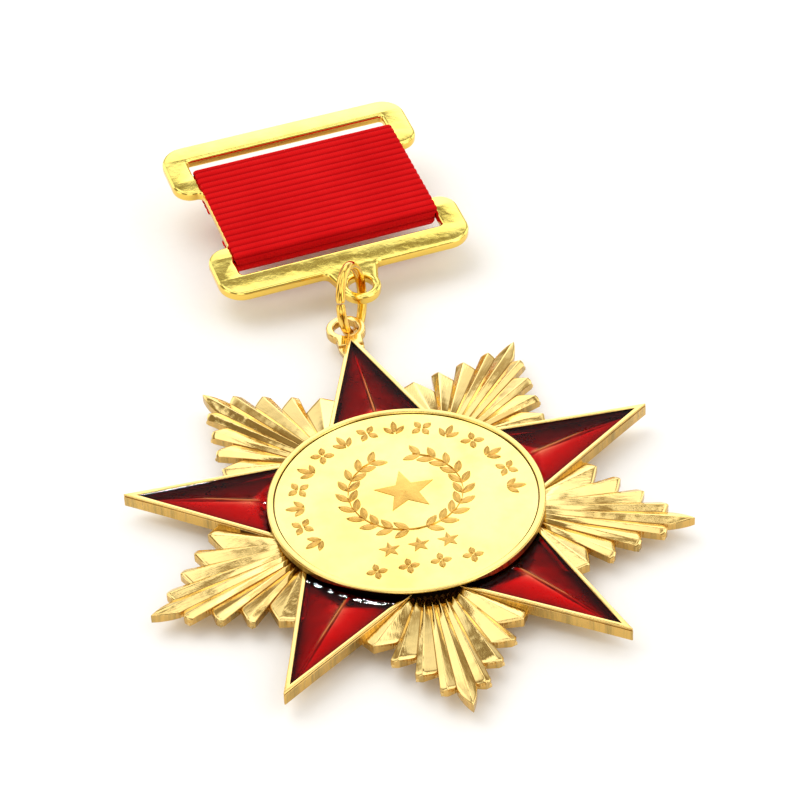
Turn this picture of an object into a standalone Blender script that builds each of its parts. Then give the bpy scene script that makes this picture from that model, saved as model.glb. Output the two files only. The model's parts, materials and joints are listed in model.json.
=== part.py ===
"""Service medal: a five-armed enamelled star hung by a jump ring from a ribbon bar with a brooch pin.

Metres, +Z out of the medal's face, +Y from the star towards the ribbon bar.
The star's flat back lies on z = 0 with its centre on the origin.
"""
import bpy
import bmesh
from math import acos, atan2, cos, pi, radians, sin, sqrt
from mathutils import Matrix, Vector

MM = 0.001

# Star
TIP_R = 35.0                 # radius of the arm and ray tips
ARM_SLOPE = 0.347            # an arm's half-width per unit of length from its tip
ARM_TOP = 1.92
BORDER = 0.55                # gold strip round the enamel
POCKET_FLOOR = 0.70
RELIEF_RIDGE = 1.45          # height of the ridge under the enamel
RELIEF_START = 31.0          # the ridge runs between these radii
RELIEF_END = 18.6
RELIEF_HIP = 16.3
ENAMEL_TOP = 1.84
ENAMEL_GAP = 0.05
RECESS_R = 16.6              # round recess under the disc
RECESS_FLOOR = 1.0
CORE_R = 16.3                # solid middle that carries the arms and the rays

# Ray fans between the arms
RAY_TIP_Z = 1.32
RAY_ROOT_Z = 1.80
RAY_VALLEY = 0.38            # depth of the valleys between the ridges
RAY_INNER_U = 15.8
RAY_END_SHORT = 0.35
RAY_STEP_U = 3.0             # each ray ends this much short of its neighbour
RAY_STEP_V = 2.247
RAY_ROOT_STEP = 0.66         # ridge spacing at the root
RAY_CORNER = 0.75            # a ray's outer corner from its ridge
RAY_MIDDLE_HALF = 1.15
RAY_MIDDLE_POINT = 3.2
RAY_SIDE = 4                 # rays on each side of the middle one

# Lug behind the top arm
LUG_Y = 37.15
LUG_R = 2.6
LUG_HOLE_R = 1.65
LUG_T = 1.2

# Centre disc
DISC_R = 17.0
DISC_TOP = 3.0
DISC_UNDER = 2.15
DISC_RIM = 0.8
DISC_FIELD = 2.75
DISC_FOOT_R = 15.0
DISC_ROUND = 0.3

# Ribbon bar, in its own frame: x along the bar, z = 0 on its front face
BAR_ORIGIN = (0.87, 62.4, 5.35)
BAR_TURN = 7.6               # degrees about +Z, as it lies beside the star
BAR_LEAN = 6.4               # degrees, upper edge raised
BAR_T = 1.5
BAR_HALF_W = 17.7
BAR_TOP = 15.5
BAR_BOTTOM = -15.9
BAR_CORNER = 3.3
WAIST_HALF_W = 14.2
EAR_TOP_Y = 5.5              # inner ends of the upper and lower ears
EAR_LOW_Y = -6.3
EAR_CORNER = 2.6
WAIST_FILLET = 0.8
SLOT_HALF_W = 14.3
SLOT_FAR = 12.3
SLOT_NEAR = -12.1
WEB_HALF_H = 9.0
BAR_EDGE = 0.45
BAR_LUG_Y = -19.3
BAR_LUG_R = 2.75
BAR_LUG_HOLE_R = 1.65
BAR_LUG_ROOT = 3.6

# Ribbon
RIBBON_HALF_W = 14.2
RIBBON_T = 0.55
RIBBON_LIFT = 0.28           # air between the web and the ribbon
RIBBON_GAP = 2.9             # half the opening between the back flaps

# Brooch pin on the back of the web
PIN_HALF_L = 12.5
PIN_BASE_HALF_H = 2.0
PIN_BASE_T = 0.6
PIN_SEAT = 0.05              # solder line between web and base strip
NEEDLE_R = 0.45
NEEDLE_Z = -3.65
HINGE_X = -11.0
EAR_T = 0.6
EAR_Y = 1.0                  # inner face of each hinge ear
RIVET_R = 0.5
EYE_R = 1.15
CATCH_X = 10.4
CATCH_HALF_L = 1.3
CATCH_R = 1.55
CATCH_BORE_R = 1.04
ROTOR_R = 0.95
ROTOR_BORE_R = 0.62
CATCH_MOUTH = 50             # half-angle of the catch's opening, degrees

# Jump ring
WIRE_R = 0.6
RING_R = 4.5
RING_CENTRE = (1.48, 39.98, 3.33)
RING_TURN = 64.0             # direction of the ring's plane in plan, degrees
RING_LEAN = 8.8              # lean of the ring's plane from upright, degrees


def clear_scene():
    for ob in list(bpy.data.objects):
        bpy.data.objects.remove(ob, do_unlink=True)


def collection(name):
    col = bpy.data.collections.new(name)
    bpy.context.scene.collection.children.link(col)
    return col


def material(name, colour, metallic, roughness):
    mat = bpy.data.materials.new(name)
    mat.use_nodes = True
    bsdf = mat.node_tree.nodes["Principled BSDF"]
    bsdf.inputs["Base Color"].default_value = (*colour, 1.0)
    bsdf.inputs["Metallic"].default_value = metallic
    bsdf.inputs["Roughness"].default_value = roughness
    mat.diffuse_color = (*colour, 1.0)
    return mat


def link(ob, col, mat=None):
    col.objects.link(ob)
    if mat is not None:
        ob.data.materials.clear()
        ob.data.materials.append(mat)
    return ob


def cutter(ob):
    cutters.objects.link(ob)
    ob.hide_render = True
    ob.display_type = "WIRE"
    return ob


def boolean(ob, other, operation):
    mod = ob.modifiers.new(other.name, "BOOLEAN")
    mod.operation = operation
    mod.solver = "EXACT"
    mod.object = other
    return mod


def bake(ob):
    """Apply the modifiers, weld, and leave a plain mesh in the same object."""
    bpy.context.view_layer.update()
    deps = bpy.context.evaluated_depsgraph_get()
    mesh = bpy.data.meshes.new_from_object(ob.evaluated_get(deps))
    bm = bmesh.new()
    bm.from_mesh(mesh)
    bmesh.ops.remove_doubles(bm, verts=bm.verts, dist=0.000002)
    bmesh.ops.dissolve_degenerate(bm, dist=0.000001, edges=bm.edges)
    bmesh.ops.recalc_face_normals(bm, faces=bm.faces)
    bm.to_mesh(mesh)
    bm.free()
    ob.modifiers.clear()
    old = ob.data
    if ob.type == "MESH":
        ob.data = mesh
        bpy.data.meshes.remove(old)
        return ob
    new = bpy.data.objects.new(ob.name, mesh)
    new.matrix_world = ob.matrix_world
    name = ob.name
    bpy.data.objects.remove(ob, do_unlink=True)
    new.name = name
    return new


def arc(cx, cy, r, start, stop, steps):
    """Points on an arc, angles in degrees."""
    points = []
    for i in range(steps + 1):
        a = radians(start + (stop - start) * i / steps)
        points.append((cx + r * cos(a), cy + r * sin(a)))
    return points


def outline(name, loops, z0, z1, edge=0.0, steps=1):
    """A flat plate from closed outlines (mm), the later loops being holes, between heights z0 and z1."""
    curve = bpy.data.curves.new(name, "CURVE")
    curve.dimensions = "2D"
    curve.fill_mode = "BOTH"
    curve.extrude = ((z1 - z0) / 2 - edge) * MM
    if edge > 0:
        curve.bevel_depth = edge * MM
        curve.bevel_resolution = steps
        curve.offset = -edge * MM
    for loop in loops:
        spline = curve.splines.new("POLY")
        spline.points.add(len(loop) - 1)
        for point, (x, y) in zip(spline.points, loop):
            point.co = (x * MM, y * MM, 0, 1)
        spline.use_cyclic_u = True
    ob = bpy.data.objects.new(name, curve)
    bpy.context.scene.collection.objects.link(ob)
    made = bake(ob)
    for v in made.data.vertices:
        v.co.z += (z0 + z1) / 2 * MM
    return made


def prism(name, points, z0, z1):
    """A straight prism on one convex or concave outline (mm)."""
    bm = bmesh.new()
    low = [bm.verts.new((x * MM, y * MM, z0 * MM)) for x, y in points]
    face = bm.faces.new(low)
    grown = bmesh.ops.extrude_face_region(bm, geom=[face])
    top = [v for v in grown["geom"] if isinstance(v, bmesh.types.BMVert)]
    bmesh.ops.translate(bm, verts=top, vec=(0, 0, (z1 - z0) * MM))
    return from_bmesh(name, bm)


def cylinder(name, r, z0, z1, steps=48):
    bm = bmesh.new()
    bmesh.ops.create_cone(bm, cap_ends=True, segments=steps, radius1=r * MM, radius2=r * MM,
                          depth=(z1 - z0) * MM)
    bmesh.ops.translate(bm, verts=bm.verts, vec=(0, 0, (z0 + z1) / 2 * MM))
    return from_bmesh(name, bm)


def from_bmesh(name, bm):
    bmesh.ops.recalc_face_normals(bm, faces=bm.faces)
    mesh = bpy.data.meshes.new(name)
    bm.to_mesh(mesh)
    bm.free()
    return bpy.data.objects.new(name, mesh)


def revolve(name, profile, steps, arc_deg=360.0):
    """Turn a closed (radius, height) profile about Z."""
    bm = bmesh.new()
    verts = [bm.verts.new((r * MM, 0, z * MM)) for r, z in profile]
    for a, b in zip(verts, verts[1:]):
        bm.edges.new((a, b))
    if profile[0][0] > 0:
        bm.edges.new((verts[-1], verts[0]))
    mesh = bpy.data.meshes.new(name)
    bm.to_mesh(mesh)
    bm.free()
    ob = bpy.data.objects.new(name, mesh)
    bpy.context.scene.collection.objects.link(ob)
    mod = ob.modifiers.new("turn", "SCREW")
    mod.axis = "Z"
    mod.angle = radians(arc_deg)
    mod.steps = steps
    mod.render_steps = steps
    mod.use_merge_vertices = True
    mod.merge_threshold = 0.000005
    made = bake(ob)
    bpy.context.scene.collection.objects.unlink(made)
    return made


def smooth(ob, angle=35.0):
    bm = bmesh.new()
    bm.from_mesh(ob.data)
    for f in bm.faces:
        f.smooth = True
    for e in bm.edges:
        if len(e.link_faces) == 2:
            e.smooth = e.calc_face_angle() < radians(angle)
    bm.to_mesh(ob.data)
    bm.free()


def axis_empty(name, col, matrix):
    empty = bpy.data.objects.new(name, None)
    empty.empty_display_size = 5 * MM
    col.objects.link(empty)
    empty.matrix_world = matrix
    bpy.context.view_layer.update()
    return empty


def hang(ob, parent, matrix):
    """Parent an object to an axis empty and leave it at the given place in the assembly."""
    ob.parent = parent
    ob.matrix_parent_inverse = parent.matrix_world.inverted()
    ob.matrix_world = matrix


# ---------------------------------------------------------------- star

def arm_points(setback, inner):
    """Outline of an arm along +Y, moved in by setback, down to the distance inner from the centre."""
    slant = sqrt(1 + ARM_SLOPE * ARM_SLOPE)
    tip = TIP_R - setback * slant / ARM_SLOPE
    half = ARM_SLOPE * (tip - inner)
    return [(half, inner), (0.0, tip), (-half, inner)]


def star_outline():
    half_tip = radians(36)
    notch = ARM_SLOPE * TIP_R / (sin(half_tip) + ARM_SLOPE * cos(half_tip))
    points = []
    for i in range(5):
        a = radians(90 + 72 * i)
        points.append((TIP_R * cos(a), TIP_R * sin(a)))
        b = a + half_tip
        points.append((notch * cos(b), notch * sin(b)))
    return points


def relief(name, grow):
    """The roof-shaped relief in an arm's pocket, raised by grow on every face."""
    z0 = POCKET_FLOOR - 1.0
    floor = POCKET_FLOOR + grow
    ridge = RELIEF_RIDGE + grow
    side = arm_points(BORDER, RELIEF_HIP)[0][0] - 0.15 + grow
    apex = arm_points(BORDER, RELIEF_HIP)[1][1] - 0.5
    base = [(0.0, apex), (side, RELIEF_HIP - grow), (-side, RELIEF_HIP - grow)]
    bm = bmesh.new()
    low = [bm.verts.new((x * MM, y * MM, z0 * MM)) for x, y in base]
    top = [bm.verts.new((x * MM, y * MM, floor * MM)) for x, y in base]
    start = bm.verts.new((0, RELIEF_START * MM, ridge * MM))
    end = bm.verts.new((0, RELIEF_END * MM, ridge * MM))
    bm.faces.new(low)
    for i in range(3):
        j = (i + 1) % 3
        bm.faces.new((low[i], low[j], top[j], top[i]))
    for side_vert in (top[1], top[2]):
        bm.faces.new((top[0], side_vert, start))
        bm.faces.new((start, side_vert, end))
    bm.faces.new((top[1], top[2], end))
    return from_bmesh(name, bm)


def fan(name):
    """Nine ridged rays along +Y, each ending short of its inner neighbour, on a flat back."""
    bm = bmesh.new()
    low_z, ridge_z = RAY_TIP_Z - RAY_VALLEY, RAY_TIP_Z
    root_low, root_ridge = RAY_ROOT_Z - RAY_VALLEY, RAY_ROOT_Z

    def pair(across, along, z):
        top = bm.verts.new((across * MM, along * MM, z * MM))
        bottom = bm.verts.new((across * MM, along * MM, 0))
        return top, bottom

    def ray_end(n):
        return TIP_R - RAY_END_SHORT - RAY_STEP_U * n

    def side(s):
        """One half of the fan, from the middle ray outwards; s is +1 to the right and -1 to the left."""
        face = (lambda *v: bm.faces.new(v)) if s > 0 else (lambda *v: bm.faces.new(v[::-1]))
        foot = []
        root, tip, before, corner = middle_root, middle_tip, None, None
        for n in range(RAY_SIDE + 1):
            v_root = pair(s * RAY_ROOT_STEP * (n + 0.5), RAY_INNER_U, root_low)
            if n == 0:
                far = pair(s * RAY_MIDDLE_HALF, TIP_R - RAY_MIDDLE_POINT, low_z)
            elif n < RAY_SIDE:
                far = pair(s * (RAY_STEP_V * n + RAY_CORNER), ray_end(n) - 0.15, low_z)
            else:
                v_root[0].co.x += s * 1.4 * MM
                v_root[1].co.x += s * 1.4 * MM
                far = pair(s * (RAY_STEP_V * n + RAY_CORNER + 0.7), ray_end(n) - 2.4, low_z)
            if n > 0:
                root = pair(s * RAY_ROOT_STEP * n, RAY_INNER_U, root_ridge)
                tip = pair(s * RAY_STEP_V * n, ray_end(n) + 0.1, ridge_z)
                near = corner
                face(before[0], root[0], tip[0], near[0])
                face(before[1], root[1], root[0], before[0])
                face(near[0], tip[0], tip[1], near[1])
                foot += [near[1], tip[1]]
            face(root[1], v_root[1], v_root[0], root[0])
            if n < RAY_SIDE:
                t = (ray_end(n + 1) - 0.25 - RAY_INNER_U) / (far[0].co.y / MM - RAY_INNER_U)
                notch = v_root[0].co.lerp(far[0].co, t)
                corner = pair(notch.x / MM, notch.y / MM, notch.z / MM)
                face(root[0], v_root[0], corner[0], far[0], tip[0])
                face(far[0], corner[0], corner[1], far[1])
            else:
                face(root[0], v_root[0], far[0], tip[0])
                face(far[0], v_root[0], v_root[1], far[1])
            face(tip[0], far[0], far[1], tip[1])
            foot.append(far[1])
            before = v_root
        return foot + [before[1]]

    middle_root = pair(0, RAY_INNER_U, root_ridge)
    middle_tip = pair(0, TIP_R, ridge_z)
    right = side(1)
    left = side(-1)
    inner = [v for v in bm.verts if abs(v.co.y - RAY_INNER_U * MM) < 1e-9 and v.co.z == 0]
    inner.sort(key=lambda v: v.co.x)
    bm.faces.new([middle_tip[1]] + right + inner[-2:0:-1] + left[::-1])
    return from_bmesh(name, bm)


def build_star(col):
    gold = material("star_gold", (0.86, 0.60, 0.24), 1.0, 0.24)
    red = material("enamel_red", (0.42, 0.005, 0.02), 0.0, 0.08)

    star = link(prism("star_body", star_outline(), 0.0, ARM_TOP), col, gold)
    boolean(star, cutter(cylinder("star_core", CORE_R, 0.0, RECESS_FLOOR + 0.2, 120)), "UNION")
    for i in range(5):
        turn = Matrix.Rotation(radians(36 + 72 * i), 4, "Z")
        rays = cutter(fan(f"rays_{i}"))
        rays.matrix_world = turn
        boolean(star, rays, "UNION")
    lug = outline("star_lug_blank", [arc(0, LUG_Y, LUG_R, -50, 230, 28)
                                     + [(-1.7, 33.6), (-1.2, 31.0), (1.2, 31.0), (1.7, 33.6)]], 0.0, LUG_T)
    cutter(lug)
    boolean(star, lug, "UNION")
    hole = cutter(cylinder("star_lug_hole", LUG_HOLE_R, -1, 3, 32))
    hole.location.y = LUG_Y * MM
    boolean(star, hole, "DIFFERENCE")
    bake(star)

    recess = cutter(cylinder("disc_recess", RECESS_R, RECESS_FLOOR, 5.0, 120))
    enamels = []
    for i in range(5):
        turn = Matrix.Rotation(radians(-72 * i), 4, "Z")
        pocket = prism(f"pocket_{i}", arm_points(BORDER, 14.5), POCKET_FLOOR, 5.0)
        cutter(pocket)
        roof = cutter(relief(f"relief_{i}", 0.0))
        boolean(pocket, roof, "DIFFERENCE")
        bake(pocket)
        pocket.matrix_world = turn
        boolean(star, pocket, "DIFFERENCE")

        inlay = prism(f"enamel_{i + 1}", arm_points(BORDER + ENAMEL_GAP, 14.5),
                      POCKET_FLOOR + ENAMEL_GAP, ENAMEL_TOP)
        link(inlay, col, red)
        over = cutter(relief(f"relief_gap_{i}", ENAMEL_GAP))
        boolean(inlay, over, "DIFFERENCE")
        inner = cutter(cylinder(f"enamel_inner_{i}", RECESS_R + 0.05, -1.0, 5.0, 120))
        boolean(inlay, inner, "DIFFERENCE")
        bake(inlay)
        inlay.matrix_world = turn
        enamels.append(inlay)
    boolean(star, recess, "DIFFERENCE")
    bake(star)

    bright = material("disc_gold", (0.96, 0.86, 0.38), 1.0, 0.30)
    r = DISC_ROUND
    rim_in = DISC_R - DISC_RIM
    profile = [(0, RECESS_FLOOR + 0.05), (DISC_FOOT_R, RECESS_FLOOR + 0.05), (DISC_FOOT_R, DISC_UNDER),
               (DISC_R - 0.15, DISC_UNDER), (DISC_R, DISC_UNDER + 0.15)]
    profile += arc(DISC_R - r, DISC_TOP - r, r, 0, 90, 4)
    profile += [(rim_in, DISC_TOP), (rim_in - 0.08, DISC_FIELD), (0, DISC_FIELD)]
    disc = link(revolve("center_disc", profile, 120), col, bright)
    smooth(disc)
    return star, enamels, disc


# ---------------------------------------------------------------- ribbon bar

def rounded(corners, steps=6):
    """Outline with a fillet of the given radius at each (x, y, radius) corner."""
    points = []
    n = len(corners)
    for i, (x, y, r) in enumerate(corners):
        if r <= 0:
            points.append((x, y))
            continue
        here = Vector((x, y))
        before = (Vector(corners[i - 1][:2]) - here).normalized()
        after = (Vector(corners[(i + 1) % n][:2]) - here).normalized()
        half = acos(max(-1.0, min(1.0, before.dot(after)))) / 2
        reach = r / sin(half) * cos(half)
        start, stop = here + before * reach, here + after * reach
        centre = here + (before + after).normalized() * (r / sin(half))
        a0 = atan2(start.y - centre.y, start.x - centre.x)
        a1 = atan2(stop.y - centre.y, stop.x - centre.x)
        while a1 - a0 > pi:
            a1 -= 2 * pi
        while a1 - a0 < -pi:
            a1 += 2 * pi
        for k in range(steps + 1):
            a = a0 + (a1 - a0) * k / steps
            points.append((centre.x + r * cos(a), centre.y + r * sin(a)))
    return points


def bar_outline():
    right = [(BAR_HALF_W, BAR_TOP, BAR_CORNER), (BAR_HALF_W, EAR_TOP_Y, EAR_CORNER),
             (WAIST_HALF_W, EAR_TOP_Y, WAIST_FILLET), (WAIST_HALF_W, EAR_LOW_Y, WAIST_FILLET),
             (BAR_HALF_W, EAR_LOW_Y, EAR_CORNER), (BAR_HALF_W, BAR_BOTTOM, BAR_CORNER),
             (BAR_LUG_ROOT, BAR_BOTTOM, 0.9)]
    left = [(-x, y, r) for x, y, r in reversed(right)]
    tip = [(x, y, 0) for x, y in arc(0, BAR_LUG_Y, BAR_LUG_R, 10, -190, 20)]
    return rounded(right + tip + left)


def slot(y0, y1):
    w = SLOT_HALF_W
    return rounded([(w, y0, 0.5), (w, y1, 0.5), (-w, y1, 0.5), (-w, y0, 0.5)], 3)


def band(name, half_w, thick, path):
    """A flat woven band: a path in the YZ plane given as (y, z), swept along X."""
    curve = bpy.data.curves.new(name, "CURVE")
    curve.dimensions = "3D"
    curve.extrude = half_w * MM
    spline = curve.splines.new("POLY")
    spline.points.add(len(path) - 1)
    for point, (y, z) in zip(spline.points, path):
        point.co = (y * MM, z * MM, 0, 1)
    ob = bpy.data.objects.new(name, curve)
    bpy.context.scene.collection.objects.link(ob)
    flat = bake(ob)
    mod = flat.modifiers.new("cloth", "SOLIDIFY")
    mod.thickness = thick * MM
    mod.offset = 0.0
    mod.use_even_offset = True
    bpy.context.scene.collection.objects.link(flat)
    made = bake(flat)
    bpy.context.scene.collection.objects.unlink(made)
    swap = Matrix(((0, 0, 1, 0), (1, 0, 0, 0), (0, 1, 0, 0), (0, 0, 0, 1)))
    made.data.transform(swap)
    return made


def build_bar(col):
    gold = material("bar_gold", (0.93, 0.84, 0.36), 1.0, 0.22)
    hole = arc(0, BAR_LUG_Y, BAR_LUG_HOLE_R, 0, 348.75, 31)
    loops = [bar_outline(), slot(WEB_HALF_H, SLOT_FAR), slot(SLOT_NEAR, -WEB_HALF_H), hole]
    bar = outline("suspension_bar", loops, -BAR_T, 0.0, BAR_EDGE)
    link(bar, col, gold)
    smooth(bar)

    cloth = material("ribbon_red", (0.78, 0.015, 0.02), 0.0, 0.75)
    h = RIBBON_T / 2
    front = RIBBON_LIFT + h
    back = -BAR_T - RIBBON_LIFT - h
    turn = (front - back) / 2
    mid = (front + back) / 2
    edge = WEB_HALF_H + RIBBON_LIFT + h - turn
    path = [(RIBBON_GAP, back)]
    path += [(edge + turn * cos(radians(a)), mid + turn * sin(radians(a))) for a in range(-90, 91, 20)]
    path += [(-y, z) for y, z in reversed(path)]
    ribbon = link(band("ribbon", RIBBON_HALF_W, RIBBON_T, path), col, cloth)
    return bar, ribbon


# ---------------------------------------------------------------- brooch pin

def tube_segment(name, r_out, r_in, half_l, mouth, steps=28):
    """A C-shaped sleeve along X whose opening faces -Z."""
    outer = [(r_out * cos(radians(a)), r_out * sin(radians(a))) for a in spread(-90 + mouth, 270 - mouth, steps)]
    inner = [(r_in * cos(radians(a)), r_in * sin(radians(a))) for a in spread(270 - mouth, -90 + mouth, steps)]
    ob = prism(name, outer + inner, -half_l, half_l)
    ob.data.transform(Matrix(((0, 0, 1, 0), (1, 0, 0, 0), (0, 1, 0, 0), (0, 0, 0, 1))))
    return ob


def spread(a, b, steps):
    return [a + (b - a) * i / steps for i in range(steps + 1)]


def build_pin(col):
    steel = material("pin_steel", (0.80, 0.66, 0.34), 1.0, 0.28)
    wire = material("needle_steel", (0.72, 0.72, 0.70), 1.0, 0.22)
    top = -BAR_T - PIN_SEAT
    low = top - PIN_BASE_T

    base = outline("pin_base", [rounded([(PIN_HALF_L, PIN_BASE_HALF_H, 1.0), (-PIN_HALF_L, PIN_BASE_HALF_H, 1.0),
                                         (-PIN_HALF_L, -PIN_BASE_HALF_H, 1.0),
                                         (PIN_HALF_L, -PIN_BASE_HALF_H, 1.0)], 4)], low, top)
    link(base, col, steel)
    for side in (-1, 1):
        y0 = side * EAR_Y
        y1 = side * (EAR_Y + EAR_T)
        a, b = min(y0, y1), max(y0, y1)
        shape = [(EYE_R, top - 0.2)] + arc(0, NEEDLE_Z, EYE_R, 0, -180, 12) + [(-EYE_R, top - 0.2)]
        ear = prism(f"hinge_ear_{side + 1}", shape, a, b)
        ear.data.transform(Matrix(((1, 0, 0, HINGE_X * MM), (0, 0, 1, 0), (0, 1, 0, 0), (0, 0, 0, 1))))
        fix = bmesh.new()
        fix.from_mesh(ear.data)
        bmesh.ops.recalc_face_normals(fix, faces=fix.faces)
        fix.to_mesh(ear.data)
        fix.free()
        cutter(ear)
        boolean(base, ear, "UNION")
    bore = cutter(cylinder("hinge_bore", RIVET_R + 0.05, -3, 3, 24))
    bore.matrix_world = Matrix.Translation((HINGE_X * MM, 0, NEEDLE_Z * MM)) @ Matrix.Rotation(radians(90), 4, "X")
    boolean(base, bore, "DIFFERENCE")
    catch = cutter(tube_segment("catch_sleeve", CATCH_R, CATCH_BORE_R, CATCH_HALF_L, CATCH_MOUTH))
    catch.location = (CATCH_X * MM, 0, NEEDLE_Z * MM)
    boolean(base, catch, "UNION")
    foot = prism("catch_foot", [(CATCH_HALF_L, -0.95), (CATCH_HALF_L, 0.95), (-CATCH_HALF_L, 0.95),
                                (-CATCH_HALF_L, -0.95)], NEEDLE_Z + CATCH_BORE_R + 0.15, low + 0.1)
    cutter(foot)
    foot.location.x = CATCH_X * MM
    boolean(base, foot, "UNION")
    bake(base)

    head = RIVET_R + 0.3
    y_in = EAR_Y + EAR_T + 0.06
    y_out = y_in + 0.35
    rivet = revolve("hinge_rivet", [(0, -y_out), (head - 0.12, -y_out), (head, -y_out + 0.12), (head, -y_in),
                                    (RIVET_R, -y_in), (RIVET_R, y_in), (head, y_in), (head, y_out - 0.12),
                                    (head - 0.12, y_out), (0, y_out)], 24)
    rivet.data.transform(Matrix.Rotation(radians(90), 4, "X"))
    link(rivet, col, steel)
    smooth(rivet)

    rotor = tube_segment("catch_rotor", ROTOR_R, ROTOR_BORE_R, CATCH_HALF_L + 0.55, CATCH_MOUTH)
    link(rotor, col, steel)
    x0 = CATCH_HALF_L + 0.08
    tab = prism("rotor_tab", [(x0, 0.75), (x0 + 0.47, 0.75), (x0 + 0.47, 2.5), (x0, 2.5)], -0.35, 0.35)
    cutter(tab)
    boolean(rotor, tab, "UNION")
    bake(rotor)

    length = CATCH_X + CATCH_HALF_L + 0.9 - HINGE_X
    needle = revolve("pin_needle", [(0, 0), (NEEDLE_R, 0), (NEEDLE_R, length - 3.2), (0.08, length), (0, length)], 16)
    needle.data.transform(Matrix.Rotation(radians(90), 4, "Y"))
    link(needle, col, wire)
    eye = cutter(cylinder("needle_eye", EYE_R - 0.1, -EAR_Y + 0.1, EAR_Y - 0.1, 28))
    eye.matrix_world = Matrix.Rotation(radians(90), 4, "X")
    boolean(needle, eye, "UNION")
    hole = cutter(cylinder("needle_bore", RIVET_R + 0.05, -3, 3, 24))
    hole.matrix_world = Matrix.Rotation(radians(90), 4, "X")
    boolean(needle, hole, "DIFFERENCE")
    bake(needle)
    smooth(needle)
    return base, rivet, rotor, needle


# ---------------------------------------------------------------- jump ring

def build_ring(col):
    gold = material("ring_gold", (0.83, 0.50, 0.13), 1.0, 0.25)
    profile = arc(RING_R, 0, WIRE_R, 0, 330, 11)
    ring = link(revolve("jump_ring", profile, 48), col, gold)
    smooth(ring, 60)
    return ring


clear_scene()
medal = collection("service_medal")
cutters = collection("service_medal_cutters")

star, enamels, disc = build_star(medal)
bar, ribbon = build_bar(medal)
pin_base, hinge_rivet, catch_rotor, pin_needle = build_pin(medal)
jump_ring = build_ring(medal)

# Every moving group hangs from an empty on its joint axis.
bar_frame = (Matrix.Translation(Vector(BAR_ORIGIN) * MM) @ Matrix.Rotation(radians(BAR_TURN), 4, "Z")
             @ Matrix.Rotation(radians(BAR_LEAN), 4, "X"))
ring_frame = (Matrix.Translation(Vector(RING_CENTRE) * MM) @ Matrix.Rotation(radians(RING_TURN), 4, "Z")
              @ Matrix.Rotation(radians(90 - RING_LEAN), 4, "X"))
bar_normal = bar_frame.to_3x3() @ Vector((0, 0, 1))
along_ring = ring_frame.to_3x3() @ Vector((1, 0, 0))
along_lug = (along_ring - along_ring.dot(bar_normal) * bar_normal).normalized()
lug_centre = bar_frame @ (Vector((0, BAR_LUG_Y, -BAR_T / 2)) * MM)
tilt_pivot = lug_centre - along_lug * (BAR_LUG_HOLE_R + BAR_LUG_R) / 2 * MM
tilt_frame = ring_frame.copy()
tilt_frame.translation = tilt_pivot

bar_axis = axis_empty("ribbon_bar_frame", medal, bar_frame)
needle_axis = axis_empty("needle_axis", medal, bar_frame @ Matrix.Translation((HINGE_X * MM, 0, NEEDLE_Z * MM)))
catch_axis = axis_empty("catch_axis", medal, bar_frame @ Matrix.Translation((CATCH_X * MM, 0, NEEDLE_Z * MM)))
ring_axis = axis_empty("star_tilt_axis", medal, tilt_frame)
star_axis = axis_empty("star_swing_axis", medal, Matrix.Translation((0, LUG_Y * MM, LUG_T / 2 * MM)))

for ob in (bar, ribbon, pin_base):
    hang(ob, bar_axis, bar_frame)
hang(hinge_rivet, needle_axis, needle_axis.matrix_world)
hang(pin_needle, needle_axis, needle_axis.matrix_world)
hang(catch_rotor, catch_axis, catch_axis.matrix_world)
hang(jump_ring, ring_axis, ring_frame)
for ob in (star, disc, *enamels):
    hang(ob, star_axis, ob.matrix_world.copy())
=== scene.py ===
"""Looks of the service medal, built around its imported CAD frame. Lengths in the code are millimetres."""
import bpy
import bmesh
import json
import random
from math import atan2, cos, exp, hypot, pi, radians, sin, sqrt
from mathutils import Matrix, Vector, noise

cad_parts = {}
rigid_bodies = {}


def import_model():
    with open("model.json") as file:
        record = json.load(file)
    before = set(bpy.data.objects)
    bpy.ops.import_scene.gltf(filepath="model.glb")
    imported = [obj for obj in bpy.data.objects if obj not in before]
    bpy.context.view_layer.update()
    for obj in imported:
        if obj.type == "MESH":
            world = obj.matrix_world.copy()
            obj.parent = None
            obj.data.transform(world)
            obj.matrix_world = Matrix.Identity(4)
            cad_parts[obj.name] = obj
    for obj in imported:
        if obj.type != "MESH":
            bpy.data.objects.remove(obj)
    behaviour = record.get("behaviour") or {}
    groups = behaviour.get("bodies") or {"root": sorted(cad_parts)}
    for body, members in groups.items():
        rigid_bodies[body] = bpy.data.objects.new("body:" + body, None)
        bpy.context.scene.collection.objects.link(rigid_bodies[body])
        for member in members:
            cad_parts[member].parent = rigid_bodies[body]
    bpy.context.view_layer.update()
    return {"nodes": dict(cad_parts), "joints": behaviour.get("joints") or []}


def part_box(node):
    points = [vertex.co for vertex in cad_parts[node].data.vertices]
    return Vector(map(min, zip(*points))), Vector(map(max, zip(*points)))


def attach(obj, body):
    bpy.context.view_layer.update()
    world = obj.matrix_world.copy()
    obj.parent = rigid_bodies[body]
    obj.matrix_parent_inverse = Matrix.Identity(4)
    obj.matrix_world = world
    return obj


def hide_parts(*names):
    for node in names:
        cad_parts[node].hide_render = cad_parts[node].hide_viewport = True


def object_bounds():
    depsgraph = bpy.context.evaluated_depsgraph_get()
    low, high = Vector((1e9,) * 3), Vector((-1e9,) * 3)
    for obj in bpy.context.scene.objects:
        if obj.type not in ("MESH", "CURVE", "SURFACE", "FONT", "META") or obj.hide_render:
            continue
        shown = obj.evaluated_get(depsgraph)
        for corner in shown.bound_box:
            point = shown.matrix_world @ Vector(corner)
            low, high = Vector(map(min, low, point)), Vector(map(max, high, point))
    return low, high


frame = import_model()
MM = 0.001
rng = random.Random(7)

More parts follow.
